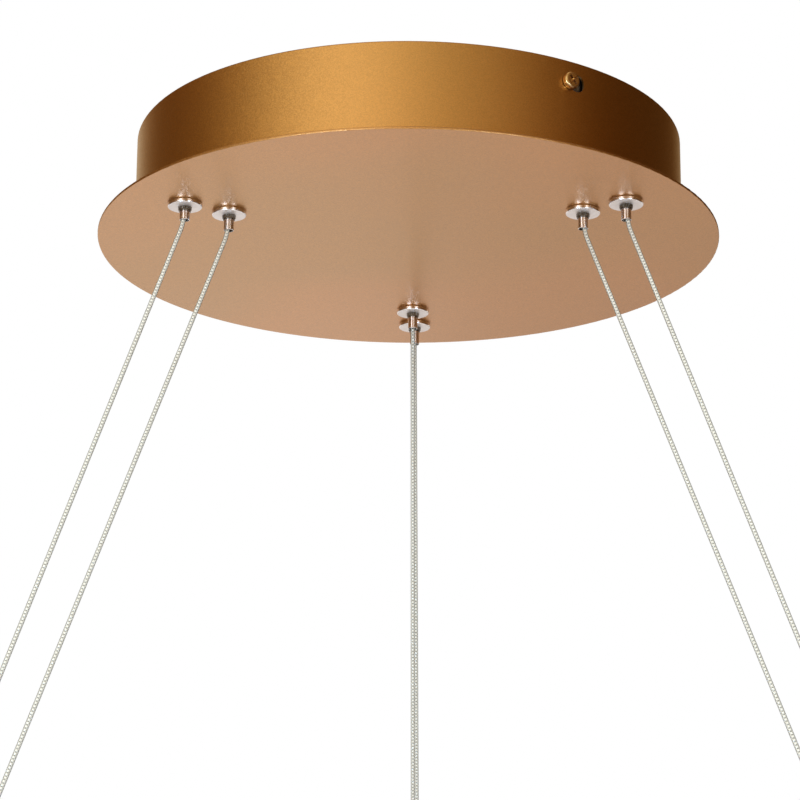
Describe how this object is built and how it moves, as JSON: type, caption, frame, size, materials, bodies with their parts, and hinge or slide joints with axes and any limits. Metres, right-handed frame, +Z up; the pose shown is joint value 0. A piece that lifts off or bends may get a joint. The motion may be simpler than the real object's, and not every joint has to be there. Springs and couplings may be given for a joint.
{
  "type": "led pendant light",
  "caption": "Round gold ceiling canopy of a ring pendant light, with ceiling bracket, driver, gripping cable glands and slanting suspension cables down to their ring fittings.",
  "frame": {"origin": "centre of the bracket's two ceiling holes, on the ceiling's surface", "axes": "+Z up into the ceiling, +X to the right of a person who stands in front, -Y towards that person"},
  "size_m": [0.414, 0.389, 0.3776],
  "materials": {
    "gold_paint": "satin metallic gold paint",
    "zinc_steel": "zinc plated, satin",
    "nickel_plate": "polished nickel plate",
    "spring_steel": "drawn wire",
    "rubber_bush": "matt",
    "clear_sheath": "clear sheath over a bright braid",
    "driver_white": "fine texture",
    "terminal_white": "smooth",
    "board_green": "lacquered board",
    "ferrite": "matt",
    "capacitor_sleeve": "shrink sleeve",
    "copper_winding": "lacquered wire",
    "sink_aluminium": "as drawn",
    "brown_lead": "wire insulation",
    "blue_lead": "wire insulation",
    "earth_lead": "green and yellow wire insulation",
    "output_lead": "wire insulation",
    "brass_clamp": "turned"
  },
  "bodies": {
    "ceiling_bracket": {"mounting_bracket": "zinc_steel", "cable_bush": "rubber_bush", "tab_nuts": "zinc_steel", "lock_screws": "nickel_plate"},
    "canopy": {"canopy_shell": "gold_paint", "base_disc": "gold_paint", "shell_lugs": "zinc_steel", "disc_studs": "zinc_steel", "stud_washers": "zinc_steel", "stud_nuts": "zinc_steel", "gland_bodies": "nickel_plate", "gland_rings": "nickel_plate", "gland_caps": "nickel_plate", "gland_washers": "zinc_steel", "gland_nuts": "nickel_plate", "short_tails": "clear_sheath", "tail_stops": "sink_aluminium", "feed_tails": "clear_sheath", "mains_strip": "terminal_white", "output_strip": "terminal_white", "terminal_screws": "brass_clamp", "driver_case": "driver_white", "driver_lid": "driver_white", "driver_board": "board_green", "driver_terminals": "terminal_white", "driver_transformer": "ferrite", "driver_capacitors": "capacitor_sleeve", "driver_choke": "copper_winding", "driver_heat_sink": "sink_aluminium", "live_lead": "brown_lead", "neutral_lead": "blue_lead", "output_leads": "output_lead", "earth_lead": "earth_lead", "earth_terminal": "zinc_steel", "cable_sleeves": "nickel_plate", "ring_studs": "nickel_plate", "suspension_cable_left_outer": "clear_sheath", "spring_left_outer": "spring_steel", "suspension_cable_left_inner": "clear_sheath", "spring_left_inner": "spring_steel", "suspension_cable_right_inner": "clear_sheath", "spring_right_inner": "spring_steel", "suspension_cable_right_outer": "clear_sheath", "spring_right_outer": "spring_steel", "suspension_cable_rear_inner": "clear_sheath", "spring_rear_inner": "spring_steel", "suspension_cable_rear_outer": "clear_sheath", "spring_rear_outer": "spring_steel"},
    "plunger_left_outer": {"plunger_left_outer": "nickel_plate"},
    "plunger_left_inner": {"plunger_left_inner": "nickel_plate"},
    "plunger_right_inner": {"plunger_right_inner": "nickel_plate"},
    "plunger_right_outer": {"plunger_right_outer": "nickel_plate"},
    "plunger_rear_inner": {"plunger_rear_inner": "nickel_plate"},
    "plunger_rear_outer": {"plunger_rear_outer": "nickel_plate"}
  },
  "joints": [
    {"name": "canopy_twist", "type": "hinge", "parent": "ceiling_bracket", "child": "canopy", "pos_m": [0, 0, 0], "axis": [0, 0, 1], "range_deg": [-1.73, 0]},
    {"name": "left_outer_tube_press", "type": "slide", "parent": "canopy", "child": "plunger_left_outer", "axis": [0, 0, 1], "range_m": [0, 0.0025], "stiffness_N_per_m": 400, "springref_m": -0.003, "deforming": ["spring_left_outer"]},
    {"name": "left_inner_tube_press", "type": "slide", "parent": "canopy", "child": "plunger_left_inner", "axis": [0, 0, 1], "range_m": [0, 0.0025], "stiffness_N_per_m": 400, "springref_m": -0.003, "deforming": ["spring_left_inner"]},
    {"name": "right_inner_tube_press", "type": "slide", "parent": "canopy", "child": "plunger_right_inner", "axis": [0, 0, 1], "range_m": [0, 0.0025], "stiffness_N_per_m": 400, "springref_m": -0.003, "deforming": ["spring_right_inner"]},
    {"name": "right_outer_tube_press", "type": "slide", "parent": "canopy", "child": "plunger_right_outer", "axis": [0, 0, 1], "range_m": [0, 0.0025], "stiffness_N_per_m": 400, "springref_m": -0.003, "deforming": ["spring_right_outer"]},
    {"name": "rear_inner_tube_press", "type": "slide", "parent": "canopy", "child": "plunger_rear_inner", "axis": [0, 0, 1], "range_m": [0, 0.0025], "stiffness_N_per_m": 400, "springref_m": -0.003, "deforming": ["spring_rear_inner"]},
    {"name": "rear_outer_tube_press", "type": "slide", "parent": "canopy", "child": "plunger_rear_outer", "axis": [0, 0, 1], "range_m": [0, 0.0025], "stiffness_N_per_m": 400, "springref_m": -0.003, "deforming": ["spring_rear_outer"]}
  ]
}
